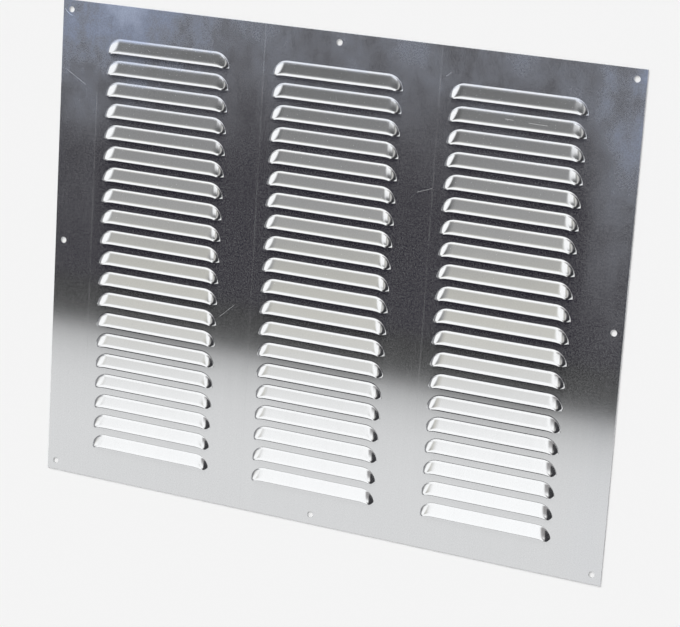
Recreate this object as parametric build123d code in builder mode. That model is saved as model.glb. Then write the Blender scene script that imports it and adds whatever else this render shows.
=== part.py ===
from build123d import *
from math import acos, cos, degrees, hypot, radians, sin
import os

# Louvred ventilation panel: one thin flat sheet with columns of louvres lanced and pressed out of it.
# The panel lies on its back face at z = 0. +X runs along its width, +Y points up as it hangs on a wall,
# and +Z points out of its front. The origin is the centre of the back face.

# Sheet
panel_width = 450.0
panel_height = 360.0
sheet_thickness = 1.0

# Louvre field: the lips lie a little below the lines of a grid that is centred on the sheet
column_count = 3
row_count = 20
column_pitch = 136.0
row_pitch = 15.8
lip_offset = 5.3

# Louvre: a long hump with a flat face, which rises out of the sheet at its root along the top and is
# sheared open at its lip along the bottom. Each end curves down by a wide shoulder and a tighter tip.
louvre_length = 100.0
louvre_depth = 10.8
louvre_rise = 3.2
shoulder_radius = 28.0
shoulder_turn = 21
tip_radius = 6.0

# Fixing holes near the sheet's edges: one at each corner and one at the middle of each side
fixing_hole_diameter = 4.5
fixing_hole_inset = 7.0

# The face runs straight from its root on the sheet's front to its lip
face_length = hypot(louvre_depth, louvre_rise)
lip_height = louvre_rise * louvre_depth / face_length

# Turn of the hump's side where its tip meets the sheet, and the width that the side takes up to there
upright = 90
tip_drop = lip_height - shoulder_radius * (1 - cos(radians(shoulder_turn)))
tip_turn = degrees(acos(max(0, cos(radians(shoulder_turn)) - tip_drop / tip_radius)))
shoulder_width = shoulder_radius * sin(radians(shoulder_turn))
tip_width = tip_radius * (sin(radians(tip_turn)) - sin(radians(shoulder_turn)))
flat_half_length = louvre_length / 2 - shoulder_width - tip_width

# Hump sections stand square to the face, on a plane just behind the root, with y out of the face
root_plane = Plane(
    origin=(0, louvre_depth, sheet_thickness), x_dir=(1, 0, 0), z_dir=(0, -louvre_depth, louvre_rise)
)
section_plane = root_plane.offset(-sheet_thickness)
section_depth = 2 * (louvre_rise + sheet_thickness)


def hump_under(depth):
    """Solid hump below the louvre's front surface, offset inwards by depth and cut upright at the lip."""
    with BuildPart() as hump:
        with BuildSketch(section_plane):
            with BuildLine():
                face = Line((0, -depth), (flat_half_length, -depth))
                shoulder = JernArc(face @ 1, face % 1, shoulder_radius - depth, -shoulder_turn)
                tip = JernArc(shoulder @ 1, shoulder % 1, tip_radius - depth, shoulder_turn - upright)
                side = Line(tip @ 1, ((tip @ 1).X, -section_depth))
                Line(side @ 1, (0, -section_depth))
                mirror(about=Plane.YZ)
            make_face()
        extrude(amount=face_length + sheet_thickness)
        split(bisect_by=Plane.XZ, keep=Keep.BOTTOM)
    return hump.part


# The outer hump stops at the sheet's back face. The inner one runs through it and opens the louvre.
with BuildPart() as louvre_outside:
    add(hump_under(0))
    split(bisect_by=Plane.XY, keep=Keep.TOP)

louvre_inside = hump_under(sheet_thickness)

with BuildPart() as louvre_panel:
    with BuildSketch() as sheet:
        Rectangle(panel_width, panel_height)
        hole_span_x = panel_width - 2 * fixing_hole_inset
        hole_span_y = panel_height - 2 * fixing_hole_inset
        with GridLocations(hole_span_x, hole_span_y, 2, 2):
            Circle(fixing_hole_diameter / 2, mode=Mode.SUBTRACT)
        with GridLocations(hole_span_x, 0, 2, 1):
            Circle(fixing_hole_diameter / 2, mode=Mode.SUBTRACT)
        with GridLocations(0, hole_span_y, 1, 2):
            Circle(fixing_hole_diameter / 2, mode=Mode.SUBTRACT)
    extrude(amount=sheet_thickness)
    with Locations((0, -lip_offset, 0)):
        with GridLocations(column_pitch, row_pitch, column_count, row_count):
            add(louvre_outside.part)
    with Locations((0, -lip_offset, 0)):
        with GridLocations(column_pitch, row_pitch, column_count, row_count):
            add(louvre_inside, mode=Mode.SUBTRACT)

louvre_panel.part.label = "louvre_panel"

os.makedirs("parts", exist_ok=True)
export_step(louvre_panel.part, "parts/louvre_panel.step")
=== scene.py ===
"""Louvred sheet metal panel: its pressed sheet in fine mesh, its mill finish, and a plain studio."""
from math import hypot, radians, sin, sqrt, tan

import bmesh
import bpy
from bpy.props import (
    FloatProperty,
    FloatVectorProperty,
    IntProperty,
    PointerProperty,
)
from mathutils import Matrix, Quaternion, Vector


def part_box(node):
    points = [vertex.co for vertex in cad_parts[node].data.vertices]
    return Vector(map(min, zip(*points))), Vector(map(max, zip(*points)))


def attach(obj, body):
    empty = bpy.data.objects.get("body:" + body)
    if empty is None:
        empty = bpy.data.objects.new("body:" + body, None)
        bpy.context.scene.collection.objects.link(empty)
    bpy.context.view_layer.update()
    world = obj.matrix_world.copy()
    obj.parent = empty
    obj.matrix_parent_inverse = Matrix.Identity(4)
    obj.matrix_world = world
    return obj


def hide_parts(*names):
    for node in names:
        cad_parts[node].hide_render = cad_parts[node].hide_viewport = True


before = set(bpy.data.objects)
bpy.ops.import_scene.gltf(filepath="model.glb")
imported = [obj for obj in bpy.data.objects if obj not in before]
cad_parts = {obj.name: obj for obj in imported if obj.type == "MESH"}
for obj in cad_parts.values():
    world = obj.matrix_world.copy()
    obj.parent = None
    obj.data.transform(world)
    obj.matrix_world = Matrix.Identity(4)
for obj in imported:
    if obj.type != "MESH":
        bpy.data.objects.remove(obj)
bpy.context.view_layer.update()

bl_info = {
    "name": "Louvred Sheet Panel",
    "version": (1, 0, 0),
    "blender": (4, 5, 0),
    "location": "View3D > Sidebar > Louvres",
    "description": "Presses a louvred panel out of flat sheet and sets it in a plain studio",
    "category": "Add Mesh",
}

NODE = "louvre_panel"
PIECE = "pressed_louvre_sheet"
MM = 0.001
MERGE_DISTANCE = 0.001 * MM
HALVINGS = 40
ROUND_SEGMENTS = 2
SHEET_LOW, SHEET_HIGH = (Vector(corner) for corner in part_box(NODE))

# A face whose normal has less than this upwards or downwards is one of the sheet's sheared edges
SHEARED_LEAN = 0.05

# A span below is what band takes: from and to, and then the values there, which are 0 and 1 if left out

# Haze: its spans on the sheet, in metres from the middle, and what it does to the metal
HAZE_TOP = (0.04, 0.19)
HAZE_TOP_POWER = 1.6
HAZE_TOP_SHARE = 0.6
HAZE_LEFT = (-0.05, -0.20)
HAZE_RIGHT = (0.185, 0.215)
HAZE_RIGHT_HEIGHT = (-0.02, 0.15, 0.05, 0.45)
HAZE_SIDES = (0.187, 0.198)
HAZE_SIDES_HEIGHT = (-0.06, 0.08, 0.0, 0.12)
HAZE_CLOUDS = (0.3, 0.7, 0.4, 1.35)
HAZE_TINT = 0.8
HAZE_DULLNESS = 0.28

# The haze, the bloom and the roller lines lie on the flat sheet and fade out up the louvres
FLAT_HEIGHT = (1.1 * MM, 1.9 * MM, 1.0, 0.2)

# Roller lines: one beside each column of louvres, in metres across the sheet, none at the right margin
ROLLER_SHIFT = 0.058
ROLLER_HALF_PITCH = 0.068
ROLLER_WIDTH = (0.7 * MM, 0.2 * MM)
ROLLER_FADE = (0.35, 0.6, 0.02, 0.10)
ROLLER_END = (0.19, 0.18)

# Grain: its lines, how its streaks tint the rolled face and the sheared edge, and the roughness they add
FINE_LINES = 1800.0
BROAD_LINES = 160.0
EDGE_LINES = 2600.0
GRAIN_STRETCH = (1.0, 0.012, 1.0)
STREAK_TINT = (0.2, 0.8, 0.0, 0.15)
STREAK_LEVEL = 0.86
STREAK_SPAN = (0.25, 0.75)
STREAK_ROUGHNESS = (-0.012, 0.012)
EDGE_STREAK_LEVEL = 0.8
EDGE_STREAK_SPAN = (0.3, 0.7)
EDGE_STREAK_ROUGHNESS = (-0.06, 0.08)

# Patterns of the rolled face: cloudy patches in the haze, specks in the bloom, and a soft ripple
CLOUDS = {"stretch": (1, 0.7, 1), "scale": 26.0, "detail": 8.0, "roughness": 0.65}
SPECKLE = {"stretch": (1, 1, 1), "scale": 900.0, "detail": 2.0}
RIPPLE = {"stretch": (1, 0.5, 1), "scale": 55.0, "detail": 2.0, "shift": (0.3, 0.1, 0)}

# Span of the speckle, and the parts of the bloom there
SPECKLE_SPAN = (0.35, 0.65)
SPECKLE_LEVELS = (0.4, 1.6)

# Scratches: middle, lean in degrees, half length, half width and bow, in mm, and what they do to the metal
SCRATCHES = (
    ((-220.8, 170.3), -36, 4.4, 0.34, 0.05),
    ((-212.2, 124.0), -30, 11.0, 0.16, 0.0),
    ((84.0, 160.5), 40, 3.0, 0.18, 0.03),
    ((72.0, 78.0), 20, 7.0, 0.13, 0.004),
    ((-77.0, -32.0), 42, 9.0, 0.12, 0.0),
    ((152.0, 134.5), -1, 8.0, 0.14, 0.0),
    ((131.0, 135.2), -2, 3.5, 0.14, 0.0),
)
SCRATCH_FADE = (0.0, 0.25)
SCRATCH_DULLNESS = 0.5
SCRATCH_ROUGHNESS = 0.3

# Relief of the rolled face, as parts of the bump's depth
BUMP_DEPTH = 0.04 * MM
RIPPLE_HEIGHT = 0.45
STREAK_HEIGHT = 0.01
SCRATCH_HEIGHT = 0.05

# Stage: brightness is on the screen's scale of 0 to 255, and its curve turns it into light
SCREEN_WHITE = 255
SCREEN_OFFSET = 0.055
SCREEN_POWER = 2.4
FLOOR_ROUGHNESS = 0.9
SENSOR_WIDTH = 36
CLIP_END = 50

# White card: height in metres and brightness
CARD_STOPS = (
    (0.0, 226), (0.15, 226), (0.204, 224), (0.272, 221), (0.34, 210), (0.385, 192), (0.408, 178),
    (0.43, 145), (0.455, 96), (0.476, 62), (0.54, 40), (0.6, 28))

# Mirrored room: brightness by direction. The direction named upper runs up the sheet, and leans a little
# towards its left side.
UPPER_SHIFT = 0.336
UPPER_TURN = -0.27
ROOM_STOPS = (
    (0.0, 255), (0.330, 255), (0.357, 250), (0.366, 230), (0.375, 212), (0.398, 197), (0.407, 187),
    (0.416, 168), (0.444, 145), (0.465, 129), (0.475, 114), (0.488, 96), (0.50, 82), (0.66, 95),
    (0.76, 230), (1.0, 250))

# Panels and gaps of the mirrored room: name, colour, and the directions and spans in which each fades in
ROOM_PATCHES = (
    ("warm strip", (0.60, 0.56, 0.42), (("upper", 0.37, 0.395), ("upper", 0.43, 0.41, 0.0, 0.35))),
    ("white crest", (1.0, 1.0, 1.0), (("x", -0.28, -0.20), ("x", 0.12, 0.02), ("upper", 0.475, 0.455))),
    ("grey nook", (0.28, 0.27, 0.27), (("x", -0.20, -0.08), ("upper", 0.375, 0.345), ("y", -0.08, 0.04))),
    ("left panel", (1.0, 1.0, 1.0), (("x", -0.54, -0.63), ("y", 0.24, 0.32))),
    ("low left panel", (0.20, 0.20, 0.21), (("x", -0.55, -0.66), ("y", 0.29, 0.20))),
    ("low gap", (0.010, 0.008, 0.016), (("y", -0.02, -0.06), ("x", 0.0, -0.10), ("x", -0.76, -0.64))),
    ("right gap", (0.03, 0.03, 0.033), (("x", 0.08, 0.20), ("y", 0.54, 0.49), ("y", -0.08, 0.04))),
)
PLAIN_LIGHT = (0.43, 0.43, 0.43)
ROOM_STRENGTH = 1.12


class SheetSizes(bpy.types.PropertyGroup):
    """Sizes of the flat sheet, its louvre grid and its fixing holes"""

    thickness: FloatProperty(
        name="Thickness", description="Gauge of the sheet", default=1.0 * MM, unit="LENGTH")
    column_count: IntProperty(
        name="Columns", description="Louvres side by side", default=3, min=1)
    row_count: IntProperty(
        name="Rows", description="Louvres one above another", default=20, min=1)
    column_pitch: FloatProperty(
        name="Column pitch", description="Middle to middle of two columns",
        default=136.0 * MM, unit="LENGTH")
    row_pitch: FloatProperty(
        name="Row pitch", description="Lip to lip of two rows", default=15.8 * MM, unit="LENGTH")
    lip_offset: FloatProperty(
        name="Lip offset", description="How far the lips lie below the grid's lines",
        default=5.3 * MM, unit="LENGTH")
    hole_diameter: FloatProperty(
        name="Hole diameter", description="Bore of a fixing hole", default=4.5 * MM, unit="LENGTH")
    hole_inset: FloatProperty(
        name="Hole inset", description="Sheet's edge to the middle of a hole",
        default=7.0 * MM, unit="LENGTH")
    hole_segments: IntProperty(
        name="Hole segments", description="Straight edges round a hole", default=40, min=8)
    edge_round: FloatProperty(
        name="Edge round", description="Rounding of the sheet's sheared outline and hole rims",
        default=0.12 * MM, unit="LENGTH")


class LouvreSizes(bpy.types.PropertyGroup):
    """Shape of one pressed louvre, from its lip to where it runs out in the flat sheet"""

    length: FloatProperty(
        name="Length", description="Tip to tip of the lip", default=100.4 * MM, unit="LENGTH")
    end_power: FloatProperty(
        name="End power", description="How long the lip stays up before an end comes down",
        default=6.0, min=1)
    face_slope: FloatProperty(
        name="Face slope", description="Lean of the flat face to the sheet",
        default=radians(19.8), subtype="ANGLE")
    nose_radius: FloatProperty(
        name="Nose radius", description="Bend of the sheet over its lip",
        default=6.5 * MM, unit="LENGTH")
    lip_tilt: FloatProperty(
        name="Lip tilt", description="How far past level the nose turns at the lip",
        default=radians(1.5), subtype="ANGLE")
    root_blend: FloatProperty(
        name="Root blend", description="Height to either side of the root line that its bend takes up",
        default=0.3 * MM, unit="LENGTH")
    flat_rim: FloatProperty(
        name="Flat rim", description="Ring of flat sheet meshed with the louvre",
        default=0.5 * MM, unit="LENGTH")
    sharp_angle: FloatProperty(
        name="Sharp angle", description="Turn past which an edge shows sharp",
        default=radians(50), subtype="ANGLE")
    ring_count: IntProperty(
        name="Rings", description="Mesh rings from the lip to the root", default=17, min=6)
    ring_crowding: FloatProperty(
        name="Ring crowding", description="How much closer the rings are at the nose and the root",
        default=0.55, min=0, max=0.9, subtype="FACTOR")
    top_turn: FloatProperty(
        name="Top turn", description="Part of an end's quarter turn with wide steps",
        default=radians(68), subtype="ANGLE")
    top_steps: IntProperty(name="Top steps", description="Steps in the top turn", default=9, min=2)
    nose_steps: IntProperty(name="Nose steps", description="Steps in the turn's rest", default=7, min=2)


class FinishSettings(bpy.types.PropertyGroup):
    """Colours and gloss of the mill finish and its marks"""

    metal_colour: FloatVectorProperty(
        name="Metal", description="Bare aluminium", default=(0.86, 0.87, 0.88), size=3, subtype="COLOR")
    haze_colour: FloatVectorProperty(
        name="Haze", description="Dull bloom where the sheet was handled",
        default=(0.50, 0.57, 0.74), size=3, subtype="COLOR")
    bloom: FloatProperty(
        name="Bloom", description="Share of dull oxide over the flat sheet",
        default=0.06, min=0, max=1, subtype="FACTOR")
    roughness: FloatProperty(
        name="Roughness", description="Gloss of the rolled face",
        default=0.09, min=0, max=1, subtype="FACTOR")
    haze_roughness: FloatProperty(
        name="Haze roughness", description="Gloss where the haze lies",
        default=0.15, min=0, max=1, subtype="FACTOR")
    edge_roughness: FloatProperty(
        name="Edge roughness", description="Gloss of the sheared edges",
        default=0.38, min=0, max=1, subtype="FACTOR")


class StageSettings(bpy.types.PropertyGroup):
    """Floor, camera and light"""

    floor_size: FloatProperty(
        name="Floor size", description="Side of the square floor", default=9.0, unit="LENGTH")
    floor_colour: FloatVectorProperty(
        name="Floor", description="Plain pale floor", default=(0.93, 0.93, 0.93), size=3, subtype="COLOR")
    card_gap: FloatProperty(
        name="Card gap", description="Sheet's lower edge to the white card beside it",
        default=0.01, unit="LENGTH")
    card_width: FloatProperty(
        name="Card width", description="Length of the card", default=4.0, unit="LENGTH")
    card_height: FloatProperty(
        name="Card height", description="Height of the card", default=0.6, unit="LENGTH")
    camera_place: FloatVectorProperty(
        name="Camera place", description="Where the camera is",
        default=(0.70513, 0.38354, 1.50194), size=3, subtype="TRANSLATION")
    camera_aim: FloatVectorProperty(
        name="Camera aim", description="Point that the camera looks at",
        default=(0.01336, -0.01963, 0.00024), size=3, subtype="TRANSLATION")
    camera_roll: FloatProperty(
        name="Camera roll", description="Turn of the camera about its line of sight",
        default=radians(-113.531), subtype="ANGLE")
    lens: FloatProperty(
        name="Lens", description="Focal length", default=126.37, unit="CAMERA")
    key_from: FloatVectorProperty(
        name="Key light from", description="Direction that the soft key light comes from",
        default=(-0.30, 0.70, 0.65), size=3, subtype="DIRECTION")
    key_strength: FloatProperty(name="Key strength", description="Power of the key light", default=2.4)
    key_spread: FloatProperty(
        name="Key spread", description="Angle that the key light fills, which softens shadows",
        default=radians(40), subtype="ANGLE")


def face_height(louvre, rise, y):
    """Height of the face over the sheet at y above the lip: a bend over the lip, then a plane."""
    crest = louvre.nose_radius * sin(louvre.lip_tilt)
    bend_end = crest + louvre.nose_radius * sin(louvre.face_slope)
    from_crest = min(y, bend_end) - crest
    drop = louvre.nose_radius - sqrt(louvre.nose_radius ** 2 - from_crest ** 2)
    return rise - drop - max(0, y - bend_end) * tan(louvre.face_slope)


def root_reach(louvre, rise):
    """Distance from the lip up to where the root's bend ends in the flat sheet."""
    bend_end = louvre.nose_radius * (sin(louvre.lip_tilt) + sin(louvre.face_slope))
    plane_start = face_height(louvre, rise, bend_end)
    return bend_end + (plane_start + louvre.root_blend) / tan(louvre.face_slope)


def section_place(louvre, reach, x, y):
    """Distance from the lip at which the middle cross section is as high as the louvre is at x and y.

    Round an end the lines of equal height are ellipses. The outermost is the circle of the outline, and
    the inner ones crowd towards it at the lip, so the face stays flat until close to the tip.
    """
    past = abs(x) - (louvre.length / 2 - reach)
    if past <= 0:
        return y
    low, high = 0.0, 1.0
    for _ in range(HALVINGS):
        share = (low + high) / 2
        if hypot(y / share, past / share ** (1 / louvre.end_power)) > reach:
            low = share
        else:
            high = share
    return reach * high


def louvre_height(louvre, rise, reach, x, y):
    """Height of the louvre over the sheet, with a smooth bend where it runs out in the flat."""
    height = face_height(louvre, rise, section_place(louvre, reach, x, y))
    blend = louvre.root_blend
    if height <= -blend:
        return 0
    if height < blend:
        return (height + blend) ** 2 / (4 * blend)
    return height


def crowd(share, crowding):
    """Even steps from 0 to 1, drawn towards both ends."""
    return share - crowding * sin(radians(360 * share)) / radians(360)


def verts_of(geometry):
    """The vertices in what a bmesh operator gives back."""
    return [item for item in geometry if isinstance(item, bmesh.types.BMVert)]


def lies_on(vert, axis, value):
    """Whether a vertex lies on a line across one axis."""
    return abs(vert.co[axis] - value) < MERGE_DISTANCE


def runs_on(edge, axis, value):
    """Whether an edge runs on a line across one axis."""
    return all(lies_on(vert, axis, value) for vert in edge.verts)


def rectangle_edges(bm, low, high, z):
    """Four edges of a rectangle between two corners."""
    places = ((low[0], low[1]), (high[0], low[1]), (high[0], high[1]), (low[0], high[1]))
    verts = [bm.verts.new((x, y, z)) for x, y in places]
    return [bm.edges.new((verts[i], verts[i - 1])) for i in range(len(verts))]


def spin_end(bm, edges, centre, side, louvre):
    """Turn the louvre's cross section round an end: wide steps at the top, narrow ones at the lip."""
    nose_turn = radians(90) - louvre.top_turn
    geometry = edges + list({vert for edge in edges for vert in edge.verts})
    for turn, steps in ((louvre.top_turn, louvre.top_steps), (nose_turn, louvre.nose_steps)):
        result = bmesh.ops.spin(
            bm, geom=geometry, cent=centre, axis=(0, 0, 1), angle=-side * turn, steps=steps,
            use_merge=False, use_duplicate=False)
        geometry = result["geom_last"]


def louvre_grid(louvre, reach, half_run):
    """Mesh of one louvre and its ring of sheet, still flat: a straight run, and an end spun at each side."""
    bm = bmesh.new()
    place = Matrix.Translation((0, reach / 2, 0)) @ Matrix.Diagonal((half_run, reach / 2, 1, 1))
    bmesh.ops.create_grid(bm, x_segments=1, y_segments=louvre.ring_count, size=1, matrix=place)
    for vert in bm.verts:
        vert.co.y = reach * crowd(vert.co.y / reach, louvre.ring_crowding)
    top = [edge for edge in bm.edges if runs_on(edge, 1, reach)]
    rim = bmesh.ops.extrude_edge_only(bm, edges=top)["geom"]
    bmesh.ops.translate(bm, verts=verts_of(rim), vec=(0, louvre.flat_rim, 0))
    for side in (-1, 1):
        x = side * half_run
        section = [edge for edge in bm.edges if runs_on(edge, 0, x)]
        spin_end(bm, section, (x, 0, 0), side, louvre)
    bmesh.ops.remove_doubles(bm, verts=bm.verts, dist=MERGE_DISTANCE)
    return bm


def louvre_tile(sheet, louvre, rise):
    """One louvre's front surface in its tile of flat sheet, with the slit open under its lip."""
    reach = root_reach(louvre, rise)
    half_run = louvre.length / 2 - reach
    bm = louvre_grid(louvre, reach, half_run)
    tip_x = half_run + reach + louvre.flat_rim
    slit = {edge for edge in bm.edges if runs_on(edge, 1, 0)}
    outline = [edge for edge in bm.edges if edge.is_boundary and edge not in slit]
    tips = [
        vert for vert in bm.verts
        if lies_on(vert, 1, 0) and (lies_on(vert, 0, -tip_x) or lies_on(vert, 0, tip_x))]
    for vert in bm.verts:
        if hypot(max(0, abs(vert.co.x) - half_run), vert.co.y) < reach - MERGE_DISTANCE:
            vert.co.z = louvre_height(louvre, rise, reach, vert.co.x, vert.co.y)
    outline.append(bm.edges.new(tips))
    below = (sheet.row_pitch - reach - louvre.flat_rim) / 2
    low = (-sheet.column_pitch / 2, -below)
    high = (sheet.column_pitch / 2, sheet.row_pitch - below)
    outline += rectangle_edges(bm, low, high, 0)
    bmesh.ops.triangle_fill(
        bm, use_beauty=True, use_dissolve=False, edges=outline, normal=(0, 0, 1))
    return bm, low, high


def repeat(bm, count, step):
    """Repeat the whole mesh along one direction, and move it so that the row is centred."""
    tile = bm.verts[:] + bm.edges[:] + bm.faces[:]
    for index in range(1, count):
        copy = bmesh.ops.duplicate(bm, geom=tile)["geom"]
        bmesh.ops.translate(bm, verts=verts_of(copy), vec=step * index)
    bmesh.ops.translate(bm, verts=bm.verts, vec=step * (1 - count) / 2)


def hole_places(sheet):
    """Middles of the fixing holes: the corners and the middle of each side."""
    span = [SHEET_HIGH[axis] - sheet.hole_inset for axis in (0, 1)]
    return [(x * span[0], y * span[1]) for x in (-1, 0, 1) for y in (-1, 0, 1) if (x, y) != (0, 0)]


def runs_on_sides(edge, low, high):
    """Whether an edge runs on a side of the rectangle between two corners."""
    return any(runs_on(edge, axis, corner[axis]) for corner in (low, high) for axis in (0, 1))


def fill_margins(bm, sheet, low, high):
    """Flat sheet round the block of louvre tiles, with its fixing holes."""
    edges = [edge for edge in bm.edges if edge.is_boundary and runs_on_sides(edge, low, high)]
    edges += rectangle_edges(bm, SHEET_LOW, SHEET_HIGH, 0)
    for x, y in hole_places(sheet):
        circle = bmesh.ops.create_circle(
            bm, cap_ends=False, segments=sheet.hole_segments, radius=sheet.hole_diameter / 2,
            matrix=Matrix.Translation((x, y, 0)))
        edges += list({edge for vert in circle["verts"] for edge in vert.link_edges})
    bmesh.ops.triangle_fill(bm, use_beauty=True, use_dissolve=False, edges=edges, normal=(0, 0, 1))


def is_outline(sheet, edge):
    """Whether an edge lies on the sheet's outline or on a hole's rim, and runs level."""
    if abs(edge.verts[0].co.z - edge.verts[1].co.z) > MERGE_DISTANCE:
        return False
    if runs_on_sides(edge, SHEET_LOW, SHEET_HIGH):
        return True
    radius = sheet.hole_diameter / 2
    return any(
        all(abs(hypot(vert.co.x - x, vert.co.y - y) - radius) < MERGE_DISTANCE for vert in edge.verts)
        for x, y in hole_places(sheet))


def press_sheet(sheet, louvre):
    """The whole pressed sheet as a closed mesh."""
    rise = SHEET_HIGH.z - sheet.thickness
    bm, low, high = louvre_tile(sheet, louvre, rise)
    repeat(bm, sheet.row_count, Vector((0, -sheet.row_pitch, 0)))
    repeat(bm, sheet.column_count, Vector((sheet.column_pitch, 0, 0)))
    bmesh.ops.translate(bm, verts=bm.verts, vec=(0, -sheet.lip_offset, 0))
    bmesh.ops.remove_doubles(bm, verts=bm.verts, dist=MERGE_DISTANCE)
    half_block = Vector(((sheet.column_count - 1) * sheet.column_pitch / 2,
                         (sheet.row_count - 1) * sheet.row_pitch / 2))
    block_low = (low[0] - half_block.x, low[1] - half_block.y - sheet.lip_offset)
    block_high = (high[0] + half_block.x, high[1] + half_block.y - sheet.lip_offset)
    fill_margins(bm, sheet, block_low, block_high)

    bmesh.ops.translate(bm, verts=bm.verts, vec=(0, 0, sheet.thickness))
    back = bmesh.ops.extrude_face_region(bm, geom=bm.faces[:], use_keep_orig=True)["geom"]
    bmesh.ops.translate(bm, verts=verts_of(back), vec=(0, 0, -sheet.thickness))
    bmesh.ops.recalc_face_normals(bm, faces=bm.faces)
    rims = [edge for edge in bm.edges if is_outline(sheet, edge)]
    for edge in bm.edges:
        edge.smooth = edge.calc_face_angle(0) < louvre.sharp_angle
    rounded = set(bmesh.ops.bevel(
        bm, geom=rims, offset=sheet.edge_round, offset_type="OFFSET", segments=ROUND_SEGMENTS,
        profile=0.5, affect="EDGES", clamp_overlap=True, material=-1)["faces"])
    for edge in {edge for face in rounded for edge in face.edges}:
        edge.smooth = all(face in rounded for face in edge.link_faces)
    return bm


def new_piece(name, bm, materials):
    """Object at the origin from a finished bmesh, smooth but for its sharp edges."""
    for face in bm.faces:
        face.smooth = True
    mesh = bpy.data.meshes.new(name)
    bm.to_mesh(mesh)
    bm.free()
    for material in materials:
        mesh.materials.append(material)
    piece = bpy.data.objects.new(name, mesh)
    bpy.context.scene.collection.objects.link(piece)
    return piece


def new_material(name):
    """Material with nodes, and its shader."""
    material = bpy.data.materials.new(name)
    material.use_nodes = True
    return material, material.node_tree.nodes["Principled BSDF"]


def rgba(colour, level=1.0):
    """Colour at a level of its brightness, with full alpha."""
    return (*(part * level for part in colour), 1.0)


def add_node(tree, kind, values=None, **settings):
    """Node with its settings, and with values or links on its inputs."""
    node = tree.nodes.new(kind)
    for name, value in settings.items():
        setattr(node, name, value)
    for key, value in (values or {}).items():
        if isinstance(value, bpy.types.NodeSocket):
            tree.links.new(value, node.inputs[key])
        else:
            node.inputs[key].default_value = value
    return node


def maths(tree, operation, first, second=0.0, third=0.0):
    """Result of a Math node."""
    values = {0: first, 1: second, 2: third}
    return add_node(tree, "ShaderNodeMath", values, operation=operation).outputs[0]


def combined(tree, operation, values):
    """Result of one Math operation over several values, from the first to the last."""
    result = values[0]
    for value in values[1:]:
        result = maths(tree, operation, result, value)
    return result


def band(tree, value, low, high, to_low=0.0, to_high=1.0):
    """Value carried smoothly from one range to another."""
    node = add_node(
        tree, "ShaderNodeMapRange",
        {"Value": value, "From Min": low, "From Max": high, "To Min": to_low, "To Max": to_high},
        interpolation_type="SMOOTHSTEP")
    return node.outputs["Result"]


def mixed(tree, share, first, second):
    """Mix of two colours."""
    node = add_node(tree, "ShaderNodeMix", data_type="RGBA", blend_type="MIX")
    for socket, value in zip((node.inputs[0], node.inputs[6], node.inputs[7]), (share, first, second)):
        if isinstance(value, bpy.types.NodeSocket):
            tree.links.new(value, socket)
        else:
            socket.default_value = value
    return node.outputs[2]


def noise(tree, place, stretch, scale, detail=3.0, roughness=0.5, shift=(0, 0, 0)):
    """Noise on the piece's own coordinates, stretched along its axes."""
    mapping = add_node(tree, "ShaderNodeMapping", {"Vector": place, "Location": shift, "Scale": stretch})
    node = add_node(tree, "ShaderNodeTexNoise", {
        "Vector": mapping.outputs[0], "Scale": scale, "Detail": detail, "Roughness": roughness})
    return node.outputs["Fac"]


def place_node(tree):
    """The piece's own coordinates."""
    return add_node(tree, "ShaderNodeTexCoord").outputs["Object"]


def new_group(name, vectors, numbers, output):
    """Node group with vector inputs, number inputs with their defaults, and one number as its output."""
    group = bpy.data.node_groups.new(name, "ShaderNodeTree")
    for title in vectors:
        group.interface.new_socket(title, in_out="INPUT", socket_type="NodeSocketVector")
    for title, default in numbers.items():
        socket = group.interface.new_socket(title, in_out="INPUT", socket_type="NodeSocketFloat")
        socket.default_value = default
    group.interface.new_socket(output, in_out="OUTPUT", socket_type="NodeSocketFloat")
    given = group.nodes.new("NodeGroupInput").outputs
    made = group.nodes.new("NodeGroupOutput").inputs[output]
    return group, given, made


def rolled_grain_group():
    """Node group: streaks that the rolls leave along the sheet's height, as a mask round a half."""
    numbers = {"Fine lines": FINE_LINES, "Broad lines": BROAD_LINES}
    group, given, made = new_group("Rolled grain", ("Place",), numbers, "Grain")
    fine = noise(group, given["Place"], GRAIN_STRETCH, given["Fine lines"], detail=2.0)
    broad = noise(group, given["Place"], GRAIN_STRETCH, given["Broad lines"], detail=4.0)
    group.links.new(maths(group, "MULTIPLY", maths(group, "ADD", fine, broad), 0.5), made)
    return group


def scratch_group():
    """Node group: mask of one scratch from its middle, lean, half length, half width and bow."""
    numbers = {"Half length": 0.0, "Half width": 0.0, "Bow": 0.0}
    group, given, made = new_group("Scratch", ("Place", "Middle", "Lean"), numbers, "Mask")
    centred = add_node(group, "ShaderNodeVectorMath", {
        0: given["Place"], 1: given["Middle"]}, operation="SUBTRACT")
    turned = add_node(group, "ShaderNodeVectorRotate", {
        "Vector": centred.outputs[0], "Rotation": given["Lean"]}, rotation_type="EULER_XYZ")
    axes = add_node(group, "ShaderNodeSeparateXYZ", {0: turned.outputs[0]})
    along = maths(group, "ABSOLUTE", axes.outputs[0])
    sag = maths(group, "MULTIPLY", maths(group, "POWER", along, 2.0), given["Bow"])
    across = maths(group, "ABSOLUTE", maths(group, "SUBTRACT", axes.outputs[1], sag))
    line = maths(group, "SUBTRACT", 1.0, maths(group, "DIVIDE", across, given["Half width"]))
    run = maths(group, "SUBTRACT", 1.0, maths(group, "DIVIDE", along, given["Half length"]))
    both = maths(group, "MULTIPLY", maths(group, "MAXIMUM", line, 0.0), band(group, run, *SCRATCH_FADE))
    group.links.new(both, made)
    return group


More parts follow.
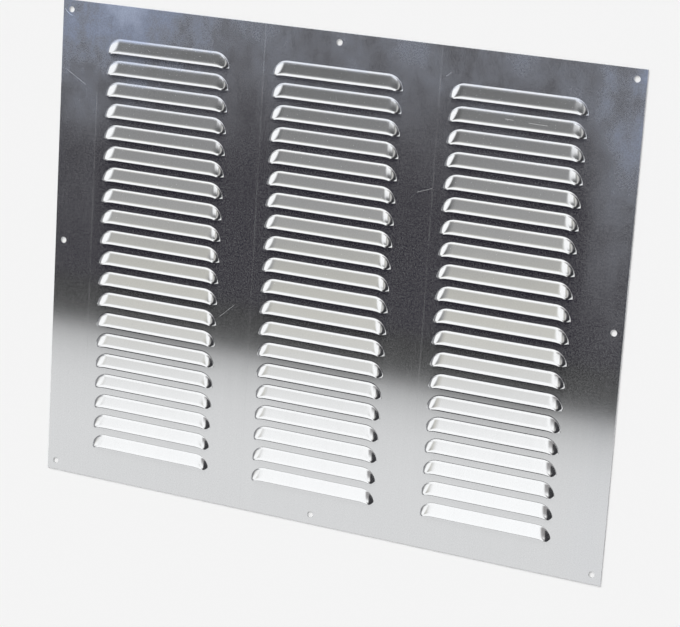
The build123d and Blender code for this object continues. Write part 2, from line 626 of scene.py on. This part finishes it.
def scratch_masks(tree, place, group):
    """All the sheet's own scratches in one mask."""
    masks = []
    for middle, lean, half_length, half_width, bow in SCRATCHES:
        node = add_node(tree, "ShaderNodeGroup", {
            "Place": place,
            "Middle": (middle[0] * MM, middle[1] * MM, 0),
            "Lean": (0, 0, radians(-lean)),
            "Half length": half_length * MM,
            "Half width": half_width * MM,
            "Bow": bow / MM,
        }, node_tree=group)
        masks.append(node.outputs["Mask"])
    return combined(tree, "MAXIMUM", masks)


def haze_mask(tree, x, y, clouds, flat):
    """Cloudy haze over the top edge, most at its left, and down both side margins."""
    top = maths(tree, "POWER", band(tree, y, *HAZE_TOP), HAZE_TOP_POWER)
    over_top = maths(tree, "MULTIPLY", top, HAZE_TOP_SHARE)
    left = maths(tree, "MULTIPLY", top, band(tree, x, *HAZE_LEFT))
    right = maths(tree, "MULTIPLY", band(tree, x, *HAZE_RIGHT), band(tree, y, *HAZE_RIGHT_HEIGHT))
    margin = band(tree, maths(tree, "ABSOLUTE", x), *HAZE_SIDES)
    sides = maths(tree, "MULTIPLY", margin, band(tree, y, *HAZE_SIDES_HEIGHT))
    cloudy = maths(tree, "MULTIPLY", band(tree, clouds, *HAZE_CLOUDS), flat)
    return maths(tree, "MULTIPLY", combined(tree, "ADD", (over_top, left, right, sides)), cloudy)


def roller_mask(tree, x, clouds, flat):
    """Faint broken lines that the rolls leave up the sheet."""
    from_line = maths(tree, "PINGPONG", maths(tree, "ADD", x, ROLLER_SHIFT), ROLLER_HALF_PITCH)
    lines = band(tree, from_line, *ROLLER_WIDTH)
    broken = band(tree, clouds, *ROLLER_FADE)
    return combined(tree, "MULTIPLY", (lines, broken, band(tree, x, *ROLLER_END), flat))


def mill_material(finish, grain_group, scratches):
    """Rolled aluminium: grain, faint roller lines, cloudy haze at the margins, and fine scratches."""
    material, shader = new_material("mill_aluminium")
    tree = material.node_tree
    place = place_node(tree)
    axes = add_node(tree, "ShaderNodeSeparateXYZ", {0: place})
    x, y = axes.outputs[0], axes.outputs[1]
    streaks = add_node(tree, "ShaderNodeGroup", {"Place": place}, node_tree=grain_group).outputs["Grain"]
    clouds = noise(tree, place, **CLOUDS)
    speckle = noise(tree, place, **SPECKLE)
    ripple = noise(tree, place, **RIPPLE)
    flat = band(tree, axes.outputs[2], *FLAT_HEIGHT)
    haze = haze_mask(tree, x, y, clouds, flat)
    scratch = maths(
        tree, "MAXIMUM", scratch_masks(tree, place, scratches), roller_mask(tree, x, clouds, flat))

    colour = mixed(
        tree, band(tree, streaks, *STREAK_TINT), rgba(finish.metal_colour),
        rgba(finish.metal_colour, STREAK_LEVEL))
    colour = mixed(tree, maths(tree, "MULTIPLY", haze, HAZE_TINT), colour, rgba(finish.haze_colour))
    tree.links.new(colour, shader.inputs["Base Color"])

    blooms = [level * finish.bloom for level in SPECKLE_LEVELS]
    bloom = maths(tree, "MULTIPLY", flat, band(tree, speckle, *SPECKLE_SPAN, *blooms))
    dullness = maths(tree, "MULTIPLY_ADD", haze, HAZE_DULLNESS, bloom)
    dullness = maths(tree, "ADD", dullness, maths(tree, "MULTIPLY", scratch, SCRATCH_DULLNESS))
    tree.links.new(maths(tree, "SUBTRACT", 1.0, dullness), shader.inputs["Metallic"])

    streak_rough = [finish.roughness + step for step in STREAK_ROUGHNESS]
    rough = band(tree, streaks, *STREAK_SPAN, *streak_rough)
    haze_rough = maths(tree, "MULTIPLY", haze, finish.haze_roughness - finish.roughness)
    scratch_rough = maths(tree, "MULTIPLY", scratch, SCRATCH_ROUGHNESS)
    tree.links.new(
        combined(tree, "ADD", (rough, haze_rough, scratch_rough)), shader.inputs["Roughness"])

    ripples = maths(tree, "MULTIPLY", ripple, RIPPLE_HEIGHT)
    height = maths(tree, "ADD", ripples, maths(tree, "MULTIPLY", streaks, STREAK_HEIGHT))
    height = maths(tree, "SUBTRACT", height, maths(tree, "MULTIPLY", scratch, SCRATCH_HEIGHT))
    bump = add_node(
        tree, "ShaderNodeBump", {"Height": height, "Strength": 1.0, "Distance": BUMP_DEPTH})
    tree.links.new(bump.outputs[0], shader.inputs["Normal"])
    return material


def edge_material(finish, grain_group):
    """Sheared edge of the sheet: duller, with fine lines across it."""
    material, shader = new_material("sheared_edge")
    tree = material.node_tree
    lines = add_node(
        tree, "ShaderNodeGroup", {"Place": place_node(tree), "Fine lines": EDGE_LINES},
        node_tree=grain_group).outputs["Grain"]
    colour = mixed(
        tree, lines, rgba(finish.metal_colour), rgba(finish.metal_colour, EDGE_STREAK_LEVEL))
    tree.links.new(colour, shader.inputs["Base Color"])
    roughs = [finish.edge_roughness + step for step in EDGE_STREAK_ROUGHNESS]
    tree.links.new(band(tree, lines, *EDGE_STREAK_SPAN, *roughs), shader.inputs["Roughness"])
    shader.inputs["Metallic"].default_value = 1.0
    return material


class LOUVRES_OT_press_sheet(bpy.types.Operator):
    """Press the louvred sheet and give it its mill finish"""

    bl_idname = "louvres.press_sheet"
    bl_label = "Press Sheet"

    def execute(self, context):
        scene = context.scene
        grain_group = rolled_grain_group()
        face = mill_material(scene.louvre_finish, grain_group, scratch_group())
        edge = edge_material(scene.louvre_finish, grain_group)
        bm = press_sheet(scene.louvre_sheet, scene.louvre_shape)
        for bm_face in bm.faces:
            bm_face.material_index = int(abs(bm_face.normal.z) < SHEARED_LEAN)
        piece = new_piece(PIECE, bm, (face, edge))
        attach(piece, "root")
        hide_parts(NODE)
        return {"FINISHED"}


def add_floor(stage):
    """Plain pale floor under the sheet."""
    material, shader = new_material("studio_floor")
    shader.inputs["Base Color"].default_value = rgba(stage.floor_colour)
    shader.inputs["Roughness"].default_value = FLOOR_ROUGHNESS
    shader.inputs["Specular IOR Level"].default_value = 0.0
    bm = bmesh.new()
    bmesh.ops.create_grid(bm, x_segments=1, y_segments=1, size=stage.floor_size / 2)
    floor = new_piece("floor", bm, (material,))


def grey_ramp(tree, value, reach, stops):
    """Ramp of grey light from 0 to a reach, from stops of place and brightness on the screen's scale."""
    ramp = add_node(tree, "ShaderNodeValToRGB", {"Fac": maths(tree, "DIVIDE", value, reach)})
    elements = ramp.color_ramp.elements
    while len(elements) < len(stops):
        elements.new(position=0.5)
    for element, (place, screen) in zip(elements, stops):
        element.position = place / reach
        light = ((screen / SCREEN_WHITE + SCREEN_OFFSET) / (1 + SCREEN_OFFSET)) ** SCREEN_POWER
        element.color = (light, light, light, 1)
    return ramp.outputs["Color"]


def add_card(stage):
    """White card along the sheet's lower edge, which only the metal mirrors, as it would a white table."""
    material, shader = new_material("table_card")
    tree = material.node_tree
    shader.inputs["Base Color"].default_value = (0, 0, 0, 1)
    shader.inputs["Specular IOR Level"].default_value = 0.0
    shader.inputs["Emission Strength"].default_value = 1.0
    height = add_node(tree, "ShaderNodeSeparateXYZ", {0: place_node(tree)}).outputs[2]
    light = grey_ramp(tree, height, stage.card_height, CARD_STOPS)
    tree.links.new(light, shader.inputs["Emission Color"])
    bm = bmesh.new()
    middle = Matrix.Translation((0, SHEET_LOW.y - stage.card_gap, stage.card_height / 2))
    upright = Matrix.Rotation(radians(90), 4, "X")
    stretch = Matrix.Diagonal((stage.card_width / 2, stage.card_height / 2, 1, 1))
    bmesh.ops.create_grid(
        bm, x_segments=1, y_segments=1, size=1, matrix=middle @ upright @ stretch)
    card = new_piece("table_card", bm, (material,))
    card.visible_camera = False
    card.visible_diffuse = False
    card.visible_shadow = False


def add_camera(scene, stage):
    """The scene's camera."""
    data = bpy.data.cameras.new("camera")
    data.sensor_fit = "HORIZONTAL"
    data.sensor_width = SENSOR_WIDTH
    data.lens = stage.lens
    data.clip_end = CLIP_END
    camera = bpy.data.objects.new("camera", data)
    sight = Vector(stage.camera_aim) - Vector(stage.camera_place)
    turn = sight.to_track_quat("-Z", "Y") @ Quaternion((0, 0, 1), stage.camera_roll)
    camera.matrix_world = Matrix.Translation(stage.camera_place) @ turn.to_matrix().to_4x4()
    scene.collection.objects.link(camera)
    scene.camera = camera


def add_key_light(scene, stage):
    """Soft light over the upper edge: the lips shade the strips below, and the metal doesn't mirror it."""
    data = bpy.data.lights.new("key_light", "SUN")
    data.energy = stage.key_strength
    data.angle = stage.key_spread
    key = bpy.data.objects.new("key_light", data)
    key.rotation_euler = Vector(stage.key_from).to_track_quat("Z", "Y").to_euler()
    key.visible_glossy = False
    scene.collection.objects.link(key)


def light_room(scene):
    """World: pale panels with dark gaps where the metal mirrors it, and an even grey otherwise."""
    world = bpy.data.worlds.new("studio")
    world.use_nodes = True
    scene.world = world
    tree = world.node_tree
    background = tree.nodes["Background"]
    way = add_node(tree, "ShaderNodeTexCoord").outputs["Generated"]
    axes = add_node(tree, "ShaderNodeSeparateXYZ", {0: way})
    x, y = axes.outputs[0], axes.outputs[1]
    upper = maths(tree, "MULTIPLY_ADD", maths(tree, "ADD", x, UPPER_SHIFT), UPPER_TURN, y)
    directions = {"x": x, "y": y, "upper": upper}
    light = grey_ramp(tree, upper, 1.0, ROOM_STOPS)
    for name, colour, sides in ROOM_PATCHES:
        bands = [band(tree, directions[direction], *span) for direction, *span in sides]
        light = mixed(tree, combined(tree, "MULTIPLY", bands), light, rgba(colour))
        light.node.label = name
    mirrored = add_node(tree, "ShaderNodeLightPath").outputs["Is Glossy Ray"]
    tree.links.new(mixed(tree, mirrored, rgba(PLAIN_LIGHT), light), background.inputs["Color"])
    background.inputs["Strength"].default_value = ROOM_STRENGTH


class LOUVRES_OT_add_stage(bpy.types.Operator):
    """Lay the floor and set the camera and the light"""

    bl_idname = "louvres.add_stage"
    bl_label = "Add Stage"

    def execute(self, context):
        scene = context.scene
        stage = scene.louvre_stage
        add_floor(stage)
        add_card(stage)
        add_camera(scene, stage)
        add_key_light(scene, stage)
        light_room(scene)
        scene.view_settings.view_transform = "Standard"
        return {"FINISHED"}


class LOUVRES_PT_sidebar(bpy.types.Panel):
    """Sidebar panel with the sheet, its louvres, its finish and the stage"""

    bl_idname = "LOUVRES_PT_sidebar"
    bl_label = "Louvred Sheet"
    bl_space_type = "VIEW_3D"
    bl_region_type = "UI"
    bl_category = "Louvres"

    def draw(self, context):
        for operator, groups in STEPS:
            box = self.layout.box()
            for group in groups:
                settings = getattr(context.scene, group)
                for name in settings.__annotations__:
                    box.prop(settings, name)
            box.operator(operator)


STEPS = (
    ("louvres.press_sheet", ("louvre_sheet", "louvre_shape", "louvre_finish")),
    ("louvres.add_stage", ("louvre_stage",)),
)
SETTINGS = {
    "louvre_sheet": SheetSizes,
    "louvre_shape": LouvreSizes,
    "louvre_finish": FinishSettings,
    "louvre_stage": StageSettings,
}
CLASSES = (*SETTINGS.values(), LOUVRES_OT_press_sheet, LOUVRES_OT_add_stage, LOUVRES_PT_sidebar)


def register():
    """Register the classes and the scene's settings."""
    for cls in CLASSES:
        bpy.utils.register_class(cls)
    for name, group in SETTINGS.items():
        setattr(bpy.types.Scene, name, PointerProperty(type=group))


def unregister():
    """Take the settings and the classes away again."""
    for name in SETTINGS:
        delattr(bpy.types.Scene, name)
    for cls in reversed(CLASSES):
        bpy.utils.unregister_class(cls)


def main():
    """Run the steps in order."""
    register()
    bpy.ops.louvres.press_sheet()
    bpy.ops.louvres.add_stage()


if __name__ == "__main__":
    main()
